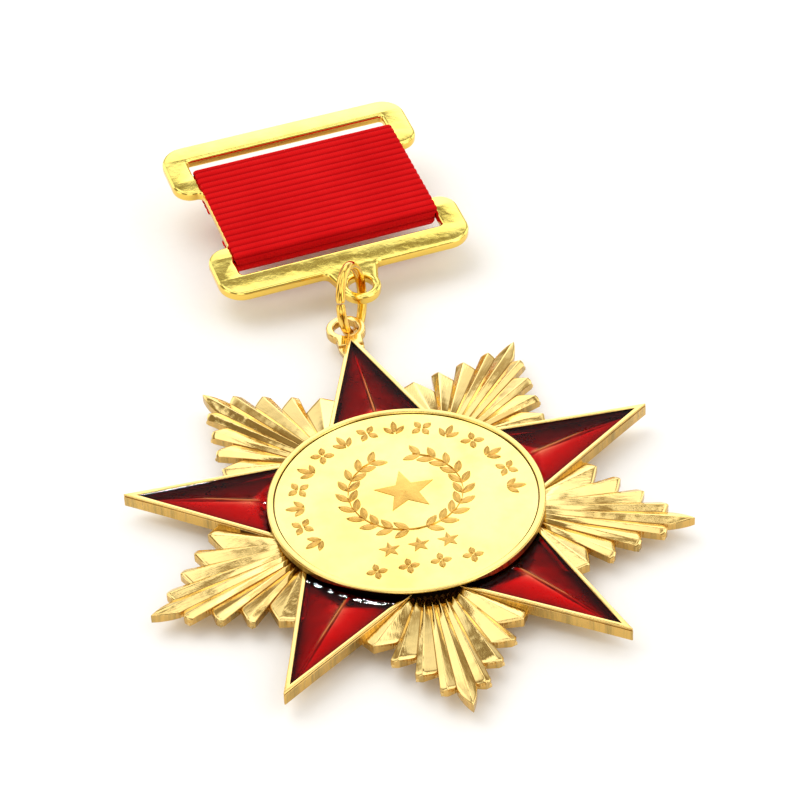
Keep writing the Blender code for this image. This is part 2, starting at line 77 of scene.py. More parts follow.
# Places taken from the CAD frame
star_low, star_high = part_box("star_body")
disc_low, disc_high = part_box("center_disc")
ring_low, ring_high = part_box("jump_ring")
TIP_R = -star_low.y / MM        # the lowest ray points straight down
DISC_R = (disc_high.x - disc_low.x) / 2 / MM
DISC_TOP = disc_high.z / MM
ARM_TOP = star_high.z / MM

# Star
ARM_SLOPE = 0.347
BORDER = 0.55
POCKET_FLOOR = 0.95
RIDGE_RISE = 0.125           # rise of the relief per unit from the arm's edge
HIP_RISE = 0.19
HIP_START = 16.3
RECESS_R = 16.3
FRONT_RAYS_R = 16.6
UNDER_LIP_R = 15.9           # away from the front the rays run in under the disc's lip
RECESS_FLOOR = 1.0
ENAMEL_TOP = 1.84
RAY_TIP_Z, RAY_ROOT_Z, RAY_VALLEY = 1.32, 1.80, 0.38
RAY_INNER_U, RAY_END_SHORT = 15.8, 0.35
RAY_STEP_U, RAY_STEP_V = 3.0, 2.247
RAY_ROOT_STEP, RAY_CORNER = 0.66, 0.75
RAY_ROWS, RAY_COLUMNS = 17, 18               # faces along and across a ray
LUG_Y, LUG_R, LUG_HOLE_R, LUG_T = 37.15, 2.6, 1.65, 1.2

# Bar and ribbon, in the bar's own frame
BAR_T, BAR_HALF_W, BAR_TOP, BAR_BOTTOM = 1.5, 17.7, 15.5, -15.9
WAIST_HALF_W, EAR_TOP_Y, EAR_LOW_Y = 14.2, 5.5, -6.3
SLOT_HALF_W, SLOT_FAR, SLOT_NEAR, WEB_HALF_H = 14.3, 12.3, -12.1, 9.0
BAR_LUG_Y, BAR_LUG_R, BAR_LUG_HOLE_R = -19.3, 2.75, 1.65
RIBBON_T, RIBBON_LIFT, RIBBON_GAP, RIB_PITCH = 0.55, 0.28, 2.9, 1.155
WIRE_R, RING_R = 0.64, 4.5


def joint(name):
    found = [j for j in frame["joints"] if j["name"] == name][0]
    return Vector(found["pos_m"]), Vector(found["axis"])


def basis(x, y, z, origin):
    m = Matrix((x, y, z)).transposed().to_4x4()
    m.translation = origin
    return m


needle_pos, needle_dir = joint("needle_hinge")
catch_pos, catch_dir = joint("catch_turn")
bar_x = -catch_dir.normalized()
bar_y = needle_dir.normalized()
bar_z = bar_x.cross(bar_y).normalized()
pin_mid = needle_pos + (catch_pos - needle_pos) * (11.0 / 21.4)
BAR = basis(bar_x, bar_y, bar_z, pin_mid + bar_z * 3.65 * MM)
ring_axis = joint("star_tilt")[1].normalized()
ring_up = (Vector((0, 0, 1)) - Vector((0, 0, 1)).dot(ring_axis) * ring_axis).normalized()
RING = basis(ring_up.cross(ring_axis), ring_up, ring_axis, (ring_low + ring_high) / 2)


# ---------------------------------------------------------------- mesh helpers

def link(name, data):
    """A new object in the scene."""
    ob = bpy.data.objects.new(name, data)
    bpy.context.scene.collection.objects.link(ob)
    return ob


def finished(name, mesh, weld, mats, face_mats, sharp, place):
    """Object from a raw mesh: points closer than weld joined, shading broken at edges over sharp degrees."""
    bm = bmesh.new()
    bm.from_mesh(mesh)
    bm.faces.ensure_lookup_table()
    for f, m in zip(bm.faces, face_mats or ()):
        f.material_index = m
    bmesh.ops.remove_doubles(bm, verts=bm.verts, dist=weld[0])
    bmesh.ops.dissolve_degenerate(bm, dist=weld[1], edges=bm.edges)
    bmesh.ops.recalc_face_normals(bm, faces=bm.faces)
    for f in bm.faces:
        f.smooth = True
    for e in bm.edges:
        e.smooth = len(e.link_faces) != 2 or e.calc_face_angle(0.0) < radians(sharp)
    bm.to_mesh(mesh)
    bm.free()
    for mat in mats:
        mesh.materials.append(mat)
    if place is not None:
        mesh.transform(place)
    return link(name, mesh)


def build(name, verts, faces, mats, face_mats=None, sharp=32.0, place=None):
    """A mesh object from points in mm; place is a matrix in metres."""
    mesh = bpy.data.meshes.new(name)
    mesh.from_pydata([(x * MM, y * MM, z * MM) for x, y, z in verts], [], faces)
    return finished(name, mesh, (0.0000005, 0.0000002), mats, face_mats, sharp, place)


def turned(verts, degrees):
    """Points turned about the star's axis."""
    c, s = cos(radians(degrees)), sin(radians(degrees))
    return [(x * c - y * s, x * s + y * c, z) for x, y, z in verts]


def slab(top, bottom):
    """Closed shell between two equal grids of points (rows of points), as verts and faces."""
    rows, cols = len(top), len(top[0])
    verts = [p for row in top for p in row] + [p for row in bottom for p in row]
    n = rows * cols
    faces = []
    for i in range(rows - 1):
        for j in range(cols - 1):
            a, b, c, d = i * cols + j, i * cols + j + 1, (i + 1) * cols + j + 1, (i + 1) * cols + j
            faces.append((a, b, c, d))
            faces.append((n + d, n + c, n + b, n + a))
    rim = [(0, j) for j in range(cols)] + [(i, cols - 1) for i in range(1, rows)]
    rim += [(rows - 1, j) for j in range(cols - 2, -1, -1)] + [(i, 0) for i in range(rows - 2, 0, -1)]
    rim = [i * cols + j for i, j in rim]
    for k, a in enumerate(rim):
        b = rim[(k + 1) % len(rim)]
        faces.append((a, n + a, n + b, b))
    return verts, faces


def sweep(sections):
    """Closed tube through equal closed sections, capped at both ends."""
    m = len(sections[0])
    verts = [p for s in sections for p in s]
    faces = []
    for i in range(len(sections) - 1):
        for k in range(m):
            l = (k + 1) % m
            faces.append((i * m + k, i * m + l, (i + 1) * m + l, (i + 1) * m + k))
    faces.append(tuple(range(m))[::-1])
    faces.append(tuple((len(sections) - 1) * m + k for k in range(m)))
    return verts, faces


def revolve(profile, steps):
    """Closed shell from a (radius, height) profile that starts and ends on the axis."""
    verts, faces = [(0, 0, profile[0][1])], []
    for r, z in profile[1:-1]:
        for k in range(steps):
            a = 2 * pi * k / steps
            verts.append((r * cos(a), r * sin(a), z))
    verts.append((0, 0, profile[-1][1]))
    last = len(verts) - 1
    rows = len(profile) - 2
    for k in range(steps):
        l = (k + 1) % steps
        faces.append((0, 1 + l, 1 + k))
        for i in range(rows - 1):
            a, b = 1 + i * steps, 1 + (i + 1) * steps
            faces.append((a + k, a + l, b + l, b + k))
        faces.append((1 + (rows - 1) * steps + k, 1 + (rows - 1) * steps + l, last))
    return verts, faces


def arc(cx, cy, r, start, stop, steps):
    return [(cx + r * cos(radians(start + (stop - start) * i / steps)),
             cy + r * sin(radians(start + (stop - start) * i / steps))) for i in range(steps + 1)]


def rounded(corners, steps=12):
    """Outline with a fillet of the given radius at each (x, y, radius) corner."""
    points = []
    n = len(corners)
    for i, (x, y, r) in enumerate(corners):
        if r <= 0:
            points.append((x, y))
            continue
        here = Vector((x, y))
        before = (Vector(corners[i - 1][:2]) - here).normalized()
        after = (Vector(corners[(i + 1) % n][:2]) - here).normalized()
        half = before.angle(after) / 2
        reach = r / sin(half) * cos(half)
        start, stop = here + before * reach, here + after * reach
        centre = here + (before + after).normalized() * (r / sin(half))
        a0 = atan2(start.y - centre.y, start.x - centre.x)
        a1 = atan2(stop.y - centre.y, stop.x - centre.x)
        while a1 - a0 > pi:
            a1 -= 2 * pi
        while a1 - a0 < -pi:
            a1 += 2 * pi
        for k in range(steps + 1):
            a = a0 + (a1 - a0) * k / steps
            points.append((centre.x + r * cos(a), centre.y + r * sin(a)))
    return points


def plate(name, loops, z0, z1, edge, mats, place=None, steps=5):
    """A flat plate with rounded edges from closed outlines, the later loops being holes."""
    curve = bpy.data.curves.new(name, "CURVE")
    curve.dimensions = "2D"
    curve.fill_mode = "BOTH"
    curve.extrude = ((z1 - z0) / 2 - edge) * MM
    curve.bevel_depth = edge * MM
    curve.bevel_resolution = steps
    curve.offset = -edge * MM
    for loop in loops:
        spline = curve.splines.new("POLY")
        spline.points.add(len(loop) - 1)
        for point, (x, y) in zip(spline.points, loop):
            point.co = (x * MM, y * MM, 0, 1)
        spline.use_cyclic_u = True
    ob = link(name, curve)
    bpy.context.view_layer.update()
    deps = bpy.context.evaluated_depsgraph_get()
    mesh = bpy.data.meshes.new_from_object(ob.evaluated_get(deps))
    bpy.data.objects.remove(ob, do_unlink=True)
    mesh.materials.clear()
    mesh.transform(Matrix.Translation((0, 0, (z0 + z1) / 2 * MM)))
    return finished(name, mesh, (0.000001, 0.0000005), mats, None, 32.0, place)


def hand_over(ob, body, stands_for=None):
    """Give a piece its body and hide the CAD node it stands in for."""
    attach(ob, body)
    if stands_for:
        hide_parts(stands_for)


def spin(angle):
    return Matrix.Rotation(angle, 4, "Z")


def shift(x, y):
    return Matrix.Translation((x, y, 0))


def wave(x, y, z, scale):
    """Smooth noise about zero."""
    return noise.noise(Vector((x * scale, y * scale, z * scale)))


# ---------------------------------------------------------------- materials

class Nodes:
    """Small helper that builds the node tree of a material or of the world."""

    def __init__(self, name, world=False):
        self.owner = (bpy.data.worlds if world else bpy.data.materials).new(name)
        self.owner.use_nodes = True
        self.tree = self.owner.node_tree
        self.tree.nodes.clear()
        self.out = self.add("OutputWorld" if world else "OutputMaterial")

    def add(self, kind, **settings):
        node = self.tree.nodes.new("ShaderNode" + kind)
        for key, value in settings.items():
            setattr(node, key, value)
        return node

    def put(self, socket, value):
        if hasattr(value, "is_output"):
            self.tree.links.new(value, socket)
        elif isinstance(value, (tuple, list)) and len(value) == 3 and socket.type == "RGBA":
            socket.default_value = (*value, 1.0)
        else:
            socket.default_value = value

    def math(self, op, a, b=0.0):
        node = self.add("Math", operation=op)
        self.put(node.inputs[0], a)
        self.put(node.inputs[1], b)
        return node.outputs[0]

    def times(self, a, b):
        return self.math("MULTIPLY", a, b)

    def plus(self, a, b):
        return self.math("ADD", a, b)

    def step(self, value, low, high):
        """Smooth step from 0 at low to 1 at high."""
        node = self.add("MapRange", interpolation_type="SMOOTHSTEP")
        self.put(node.inputs[0], value)
        node.inputs[1].default_value = low
        node.inputs[2].default_value = high
        return node.outputs[0]

    def coords(self):
        return self.add("TexCoord").outputs["Object"]

    def drawn_out(self, vector, share):
        """Coordinates whose patterns run on along the height."""
        node = self.add("Mapping")
        self.put(node.inputs["Vector"], vector)
        node.inputs["Scale"].default_value = (1.0, 1.0, share)
        return node.outputs[0]

    def noise(self, vector, scale, detail, rough):
        node = self.add("TexNoise")
        for key, value in (("Vector", vector), ("Scale", scale), ("Detail", detail), ("Roughness", rough)):
            self.put(node.inputs[key], value)
        return node.outputs[0]

    def mix(self, factor, a, b):
        node = self.add("Mix", data_type="RGBA")
        self.put(node.inputs[0], factor)
        self.put(node.inputs[6], a)
        self.put(node.inputs[7], b)
        return node.outputs[2]

    def range(self, value, low, high, to_low, to_high):
        node = self.add("MapRange")
        self.put(node.inputs[0], value)
        for i, v in enumerate((low, high, to_low, to_high)):
            self.put(node.inputs[i + 1], v)
        return node.outputs[0]

    def bump(self, height, strength, distance, normal=None):
        node = self.add("Bump")
        self.put(node.inputs["Height"], height)
        node.inputs["Strength"].default_value = strength
        node.inputs["Distance"].default_value = distance
        if normal is not None:
            self.put(node.inputs["Normal"], normal)
        return node.outputs[0]

    def principled(self, **values):
        node = self.add("BsdfPrincipled")
        for key, value in values.items():
            self.put(node.inputs[key.replace("_", " ")], value)
        return node

    def finish(self, shader):
        self.tree.links.new(shader, self.out.inputs["Surface"])
        return self.owner


def gold(name, light, dark, rough, wobble=0.0, grain=0.0, brushed=0.0, pits=0.0, radial=0.0, edge=0.0,
         shade=None, metal=1.0):
    """Plated metal: two tones of colour, uneven polish, and bump at the scales asked for.

    wobble: slow unevenness of the polish; grain: fine cast texture; brushed: marks on upright walls;
    pits: small dents; radial: marks running out from the star's centre; shade: colour of painted shade on
    upright walls.
    """
    n = Nodes(name)
    pos = n.coords()
    cloud = n.noise(pos, 160.0, 3.0, 0.55)
    fine = n.noise(pos, 2600.0, 3.0, 0.6)
    tone = n.range(cloud, 0.35, 0.65, 0.0, 1.0)
    colour = n.mix(tone, dark, light)
    roughness = n.range(n.plus(n.times(cloud, 0.6), n.times(fine, 0.4)),
                        0.3, 0.7, rough * 0.75, rough * 1.3)
    normal = None
    if wobble:
        normal = n.bump(n.noise(pos, 330.0, 2.0, 0.45), wobble, 0.00025, normal)
    if radial:
        split = n.add("SeparateXYZ")
        n.put(split.inputs[0], pos)
        angle = n.math("ARCTAN2", split.outputs[1], split.outputs[0])
        x, y = split.outputs[:2]
        reach = n.math("SQRT", n.plus(n.times(x, x), n.times(y, y)))
        joined = n.add("CombineXYZ")
        n.put(joined.inputs[0], n.times(angle, 34.0))
        n.put(joined.inputs[1], n.times(reach, 190.0))
        streaks = n.noise(joined.outputs[0], 3.0, 4.0, 0.6)
        normal = n.bump(streaks, radial, 0.00012, normal)
    geo = n.add("NewGeometry")
    split = n.add("SeparateXYZ")
    n.put(split.inputs[0], geo.outputs["Normal"])
    upright = n.range(n.math("ABSOLUTE", split.outputs[2]), 0.35, 0.6, 1.0, 0.0)
    # painted shade: upright walls are blended towards the shade colour
    if shade:
        colour = n.mix(n.times(upright, 0.85), colour, shade)
    if brushed:
        marks = n.noise(n.drawn_out(pos, 0.08), 3200.0, 3.0, 0.65)
        gouge = n.noise(n.drawn_out(pos, 0.06), 700.0, 2.0, 0.6)
        both = n.times(n.plus(marks, gouge), upright)
        normal = n.bump(both, brushed, 0.00022, normal)
        roughness = n.plus(roughness, n.times(upright, 0.10))
        deep = n.plus(n.times(gouge, 0.6), n.times(marks, 0.4))
        deep = n.range(deep, 0.46, 0.62, 0.0, 0.8)
        colour = n.mix(n.times(deep, upright), colour, tuple(c * 0.40 for c in dark))
    if pits:
        cells = n.add("TexVoronoi", feature="SMOOTH_F1")
        n.put(cells.inputs["Vector"], pos)
        cells.inputs["Scale"].default_value = 900.0
        dents = n.range(cells.outputs["Distance"], 0.0, 0.45, 0.0, 1.0)
        normal = n.bump(dents, pits, 0.00005, normal)
    if grain:
        normal = n.bump(fine, grain, 0.00002, normal)
    if edge:
        soft = n.add("Bevel", samples=4)
        soft.inputs["Radius"].default_value = edge * MM
        if normal is None:
            normal = soft.outputs[0]
        geo = n.add("NewGeometry")
        dot = n.add("VectorMath", operation="DOT_PRODUCT")
        n.put(dot.inputs[0], soft.outputs[0])
        n.put(dot.inputs[1], geo.outputs["Normal"])
        # painted highlight: the rounded edges are painted lighter than the faces
        edge_highlight = n.range(dot.outputs["Value"], 0.80, 0.99, 0.6, 0.0)
        colour = n.mix(edge_highlight, colour, tuple(min(1.0, c * 1.15) for c in light))
    body = n.principled(Base_Color=colour, Metallic=metal, Roughness=roughness)
    if normal is not None:
        n.put(body.inputs["Normal"], normal)
    return n.finish(body.outputs[0])


def enamel_surface():
    """Clear deep red glaze: what is seen through it darkens with the value stored on each point, the glaze's
    depth raised by painted shade near the disc and the metal walls.
    """
    n = Nodes("enamel_glaze")
    depth_and_shade = n.add("Attribute", attribute_name="depth_and_shade").outputs["Fac"]
    pos = n.coords()
    depth_and_shade = n.times(depth_and_shade, n.range(n.noise(pos, 240.0, 2.0, 0.5), 0.3, 0.7, 0.92, 1.1))
    tint = n.add("CombineColor")
    depth_and_shade = n.times(n.times(depth_and_shade, depth_and_shade), 2.0)
    for socket, absorb in zip(tint.inputs, (0.40, 6.5, 5.6)):
        n.put(socket, n.math("EXPONENT", n.times(depth_and_shade, -absorb)))
    clear = n.add("BsdfTransparent")
    n.put(clear.inputs[0], tint.outputs[0])
    normal = n.bump(n.noise(pos, 420.0, 2.0, 0.5), 0.08, 0.0002)
    shine = n.add("BsdfGlossy")
    n.put(shine.inputs["Color"], (0.26, 0.23, 0.23))
    n.put(shine.inputs["Roughness"], 0.05)
    n.put(shine.inputs["Normal"], normal)
    facing = n.add("Fresnel")
    facing.inputs["IOR"].default_value = 1.30
    n.put(facing.inputs["Normal"], normal)
    both = n.add("MixShader")
    n.put(both.inputs[0], facing.outputs[0])
    n.tree.links.new(clear.outputs[0], both.inputs[1])
    n.tree.links.new(shine.outputs[0], both.inputs[2])
    return n.finish(both.outputs[0])


def enamel_inside():
    """Lower side of the glaze, which meets the metal and shows nothing of its own."""
    n = Nodes("enamel_underside")
    clear = n.add("BsdfTransparent")
    n.put(clear.inputs[0], (1.0, 1.0, 1.0))
    return n.finish(clear.outputs[0])


def ribbon_cloth():
    """Ribbed red silk: fine warp threads over the woven ribs, dyed a little unevenly."""
    n = Nodes("ribbon_red")
    pos = n.coords()
    local = n.add("Mapping", vector_type="TEXTURE")
    n.put(local.inputs["Vector"], pos)
    local.inputs["Rotation"].default_value = (0.0, 0.0, atan2(bar_x.y, bar_x.x))
    at = local.outputs[0]

    def bands(direction, scale, distortion, **more):
        node = n.add("TexWave", wave_type="BANDS", bands_direction=direction, wave_profile="SIN")
        for key, value in dict(Vector=at, Scale=scale, Distortion=distortion, **more).items():
            n.put(node.inputs[key], value)
        return node.outputs["Fac"]

    warp = bands("X", 1050.0, 1.2, Detail=1.0)
    weft = bands("Y", 900.0, 2.0)
    fuzz = n.noise(at, 4200.0, 4.0, 0.65)
    dye = n.noise(at, 130.0, 3.0, 0.5)
    threads = n.plus(n.times(warp, 0.65), n.times(weft, 0.35))
    groove = n.add("Attribute", attribute_name="groove").outputs["Fac"]
    colour = n.mix(n.range(dye, 0.3, 0.7, 0.0, 1.0), (0.60, 0.003, 0.004), (0.70, 0.006, 0.007))
    colour = n.mix(n.times(n.math("SUBTRACT", 1.0, threads), 0.22), colour, (0.36, 0.0, 0.003))
    # darker in the grooves between the ribs: painted shade
    colour = n.mix(n.times(groove, 0.75), colour, (0.30, 0.0, 0.002))
    normal = n.bump(threads, 0.35, 0.00005)
    normal = n.bump(fuzz, 0.22, 0.00003, normal)
    body = n.principled(Base_Color=colour, Roughness=n.range(fuzz, 0.3, 0.7, 0.55, 0.8),
                        Sheen_Weight=0.02, Sheen_Roughness=0.4, Specular_IOR_Level=0.04)
    n.put(body.inputs["Sheen Tint"], (1.0, 0.25, 0.2))
    n.put(body.inputs["Normal"], normal)
    return n.finish(body.outputs[0])


# the shade colours given below are painted shade on upright walls
star_gold = gold("star_gold", (1.0, 0.75, 0.28), (0.96, 0.68, 0.23), 0.12, wobble=0.18, grain=0.15,
                 brushed=0.7, shade=(0.66, 0.40, 0.10))
ray_gold = gold("ray_gold", (1.0, 0.77, 0.31), (0.95, 0.69, 0.25), 0.07, wobble=0.30, radial=0.12,
                brushed=0.7, shade=(0.64, 0.38, 0.10))
# darker gold for the creases between rays: painted shade in the creases
crease_shade_gold = gold("crease_shade_gold", (0.62, 0.40, 0.12), (0.50, 0.30, 0.08), 0.22, wobble=0.2, grain=0.2)
floor_gold = gold("pocket_gold", (1.0, 0.72, 0.32), (0.92, 0.62, 0.26), 0.30, wobble=0.45, grain=0.1)
# matte bright orange for the ridge line under the glaze: the ridge is real relief, its bright colour a painted
# highlight
crest_highlight_gold = gold("crest_highlight_gold", (1.0, 0.40, 0.10), (0.98, 0.33, 0.08), 0.55, grain=0.2, metal=0.0)
# near-black red for the pocket walls under the glaze: painted shade along the enamel's edge
wall_shade = gold("pocket_wall", (0.20, 0.05, 0.04), (0.10, 0.02, 0.02), 0.40, grain=0.5)
gap_dark = gold("gap_shade", (0.13, 0.07, 0.03), (0.07, 0.035, 0.015), 0.55, grain=0.8)
disc_gold = gold("disc_gold", (1.0, 0.85, 0.31), (0.97, 0.74, 0.21), 0.20, wobble=0.05, grain=0.12)
# darker golds for the disc's rim, its side wall and the underside of its lip: painted shade
rim_shade_gold = gold("rim_shade_gold", (0.93, 0.70, 0.24), (0.88, 0.64, 0.20), 0.16, wobble=0.05, grain=0.1)
under_shade_gold = gold("under_shade_gold", (0.40, 0.27, 0.09), (0.28, 0.18, 0.06), 0.35, grain=0.5)
side_shade_gold = gold("side_shade_gold", (0.62, 0.46, 0.16), (0.40, 0.28, 0.09), 0.24, wobble=0.3, grain=0.3, brushed=0.7)
# dark brown for fine grooves on the arms and the disc: painted shade in the grooves
groove_shade_gold = gold("groove_shade_gold", (0.34, 0.20, 0.06), (0.24, 0.13, 0.04), 0.35, grain=0.3)
mark_gold = gold("etched_gold", (0.84, 0.54, 0.14), (0.66, 0.38, 0.08), 0.28, grain=0.8)
bar_gold = gold("bar_gold", (1.0, 0.86, 0.24), (1.0, 0.82, 0.19), 0.10, wobble=0.15, pits=0.09, grain=0.3,
                shade=(0.86, 0.56, 0.10))
ring_gold = gold("ring_gold", (0.96, 0.66, 0.15), (0.84, 0.50, 0.08), 0.10, wobble=0.3, grain=0.2)
pin_gold = gold("pin_gold", (0.90, 0.70, 0.32), (0.78, 0.58, 0.24), 0.26, wobble=0.2, grain=0.5, edge=0.08)
needle_steel = gold("needle_steel", (0.74, 0.74, 0.72), (0.62, 0.62, 0.60), 0.20, wobble=0.1, grain=0.5,
                    edge=0.04)
back_gold = gold("back_gold", (0.95, 0.70, 0.28), (0.84, 0.58, 0.21), 0.34, wobble=0.25, grain=1.0,
                 brushed=0.8)
glaze = enamel_surface()
glaze_under = enamel_inside()
cloth = ribbon_cloth()


# ---------------------------------------------------------------- star

SLANT = sqrt(1 + ARM_SLOPE * ARM_SLOPE)
LEG_C = TIP_R * ARM_SLOPE / SLANT            # distance of an arm's edge line from the centre

# Materials of an arm's border, by place in the list
PLAIN, POCKET_WALL, STEP_LINE, SLIT = 0, 1, 2, 3
LEFT_ARM = 4


def leg_foot(inset, reach):
    """Where the right edge line, moved in by inset, meets the circle of the given radius."""
    d = LEG_C - inset
    t = sqrt(max(reach * reach - d * d, 0.0))
    return (d - t * ARM_SLOPE) / SLANT, (d * ARM_SLOPE + t) / SLANT


def apex(inset):
    """Where an arm's two edge lines, moved in by inset, cross."""
    return TIP_R - inset * SLANT / ARM_SLOPE


def arm_frame(i):
    """The gold strip round an arm: a bent bar with rounded edges and a fine step below its top."""
    section = [(0.10, 0.05), (0.0, 0.15), (0.0, 1.56), (0.09, 1.60), (0.09, 1.69), (0.015, 1.725)]
    section += [(0.10 - 0.10 * cos(radians(a)), ARM_TOP - 0.10 + 0.10 * sin(radians(a)))
                for a in (10, 30, 50, 70, 90)]
    section += [(0.27, ARM_TOP + 0.012)]
    section += [(BORDER - 0.09 + 0.09 * sin(radians(a)), ARM_TOP - 0.09 + 0.09 * cos(radians(a)))
                for a in (0, 25, 50, 75, 90)]
    inner_wall = len(section) - 1
    section += [(BORDER + 0.02, 1.0), (BORDER + 0.04, 0.05)]
    blunt = 0.10
    lost = blunt * SLANT / ARM_SLOPE - blunt
    normal = atan2(ARM_SLOPE, 1.0)
    rings = []
    ring = []
    for d, z in section:
        x, y = leg_foot(d, RECESS_R)
        ring.append((x, y, z))
    rings.append(ring)
    for t in (0.25, 0.5, 0.75):
        ring = []
        for d, z in section:
            x, y = leg_foot(d, RECESS_R)
            tip_y = apex(d)
            ring.append((x * (1 - t), y + (tip_y - y) * t, z))
        rings.append(ring)
    for k in range(5):
        a = normal + (pi - 2 * normal) * k / 4
        ring = []
        for d, z in section:
            left = max(blunt - d, 0.0)
            ring.append((left * cos(a), apex(max(d, blunt)) + left * sin(a) + lost * exp(-d / 0.3), z))
        rings.append(ring)
    for ring in rings[3::-1]:
        rings.append([(-x, y, z) for x, y, z in ring])
    verts, faces = sweep(rings)
    m = len(section)
    # the pocket's inner wall and the fine step below the top are painted dark: painted shade
    dark = {inner_wall: POCKET_WALL, inner_wall + 1: POCKET_WALL, 3: STEP_LINE, 4: STEP_LINE}
    kinds = [dark.get(k % m, PLAIN) for k in range((len(rings) - 1) * m)] + [PLAIN, PLAIN]
    if i == LEFT_ARM:
        kinds[(len(rings) - 2) * m + 1] = SLIT      # narrow shaded gap between this arm and the fan below it
    mats = [star_gold, wall_shade, groove_shade_gold, gap_dark]
    return build(f"arm_border_{i + 1}", turned(verts, -72 * i), faces, mats, kinds)


def from_border(x, y):
    """Distance of a point of an arm along +Y from the arm's gold border."""
    return LEG_C - BORDER - (abs(x) + y * ARM_SLOPE) / SLANT


def relief_height(x, y):
    """Height of the ridged floor under the enamel at a point of an arm along +Y."""
    hip = (y - HIP_START + 0.012 * x * x) * HIP_RISE
    slope = from_border(x, y) * RIDGE_RISE
    soft = 0.035
    body = max(0.0, 0.5 * (slope + hip - sqrt((slope - hip) ** 2 + soft * soft)))
    return POCKET_FLOOR + body


def ridge_share(z):
    """How far the fine line along the relief's ridge has come up at a floor of height z."""
    return min(1.0, (z - POCKET_FLOOR) / 0.35) ** 2


def arm_grid(inset, rows, half_cols, inner):
    """Points of an arm's inside, from the hub to the tip."""
    tip = apex(inset)
    grid = []
    for r in range(rows + 1):
        t = r / rows
        t = t * 0.6 + 0.4 * t * t
        row = []
        for c in range(-half_cols, half_cols + 1):
            s = c / half_cols
            s = s * (0.35 + 0.65 * abs(s))
            half = leg_foot(inset, inner)[0] * s
            y0 = sqrt(max(inner * inner - half * half, 0.0))
            y = y0 + (tip - y0) * t
            row.append((half * (1 - t), y))
        grid.append(row)
    return grid


def arm_floor(i):
    grid = arm_grid(BORDER - 0.12, 64, 28, RECESS_R)
    grid[-1] = [(x, apex(BORDER - 0.12)) for x, y in grid[-1]]
    top = []
    for row in grid:
        line = []
        for x, y in row:
            z = relief_height(x, y)
            if z > POCKET_FLOOR + 0.02:
                z += 0.005 * wave(x, y, i * 9.0, 1.1)
            z += (ENAMEL_TOP - 0.09 - z) * 0.94 * exp(-(x / 0.13) ** 4) * ridge_share(z)
            line.append((x, y, z))
        top.append(line)
    bottom = [[(x, y, 0.08) for x, y in row] for row in grid]
    verts, faces = slab(top, bottom)
    kinds = [0] * len(faces)
    for k in range((len(top) - 1) * (len(top[0]) - 1)):
        row, column = divmod(k, len(top[0]) - 1)
        middle = (top[row][column][0] + top[row][column + 1][0]) / 2
        # faces along the ridge get the bright orange: painted highlight on the ridge line
        if abs(middle) < 0.14 and top[row][column][2] > POCKET_FLOOR + 0.15:
            kinds[2 * k] = 1
    return build(f"arm_floor_{i + 1}", turned(verts, -72 * i), faces, [floor_gold, crest_highlight_gold], kinds, sharp=60)


def arm_enamel(i):
    """The glaze over an arm's relief, with a raised lip along the metal and an uneven edge at the hub."""
    grid = arm_grid(BORDER + 0.012, 72, 22, RECESS_R + 0.05)
    tip = apex(BORDER + 0.012)
    grid[-1] = [(x, tip) for x, y in grid[-1]]
    top, under = [], []
    for row in grid:
        line, low = [], []
        for x, y in row:
            side = from_border(x, y)
            hub = hypot(x, y) - RECESS_R
            z = ENAMEL_TOP - 0.05 + 0.035 * exp(-side / 0.12)
            z += 0.02 * wave(x, y, i * 7.0, 0.35) * min(1.0, side)
            z += 0.10 * exp(-((hub - 1.10) / 0.42) ** 2) * (0.8 + 1.2 * wave(x, y, i * 3.0, 1.3))
            z += 0.018 * wave(x, y, i * 13.0, 4.5) * exp(-hub / 1.3)
            z += 0.03 * wave(x, y, i * 11.0, 2.2) * exp(-hub / 2.5) - 0.08 * exp(-hub / 0.6)
            floor = relief_height(x, y) + 0.02
            floor += (ENAMEL_TOP - 0.07 - floor) * exp(-(x / 0.14) ** 4) * ridge_share(floor)
            line.append((x, y, z))
            low.append((x, y, min(floor, z - 0.05)))
        top.append(line)
        under.append(low)
    verts, faces = slab(top, under)
    kinds = [0, 1] * ((len(top) - 1) * (len(top[0]) - 1))
    kinds += [1] * (len(faces) - len(kinds))
    ob = build(f"enamel_glaze_{i + 1}", turned(verts, -72 * i), faces, [glaze, glaze_under], kinds, sharp=60)
    mesh = ob.data
    attribute = mesh.attributes.new("depth_and_shade", "FLOAT", "POINT")
    turn = radians(72 * i)
    for v in mesh.vertices:
        x, y = v.co.x / MM, v.co.y / MM
        x, y = x * cos(turn) - y * sin(turn), x * sin(turn) + y * cos(turn)
        hub = max(0.0, hypot(x, y) - RECESS_R)
        deep = max(0.05, v.co.z / MM - relief_height(x, y))
        side = max(0.0, from_border(x, y))
        crest = 0.95 * exp(-(x / 0.19) ** 2) * ridge_share(relief_height(x, y))
        # the stored depth is raised near the hub and along the metal walls: painted shade under the disc's lip
        # and along the pocket's edge; it is also a little lower near the arm's middle line
        deep *= (1 + 0.5 * exp(-hub / 0.5)) * (1 + 0.5 * exp(-side / 0.35)) * (1 - 0.16 * exp(-(x / 1.1) ** 2))
        attribute.data[v.index].value = deep * (1 - crest)
    return ob


def ray_end(k):
    """How far out the k-th ray from a fan's middle reaches."""
    return TIP_R - RAY_END_SHORT - RAY_STEP_U * k


def valley_foot(k):
    """Outer end of the valley beside the k-th ray."""
    if k == 0:
        return 1.15, TIP_R - 3.2
    if k == 4:
        return RAY_STEP_V * 4 + RAY_CORNER + 0.7, ray_end(4) - 2.4
    return RAY_STEP_V * k + RAY_CORNER, ray_end(k) - 0.15


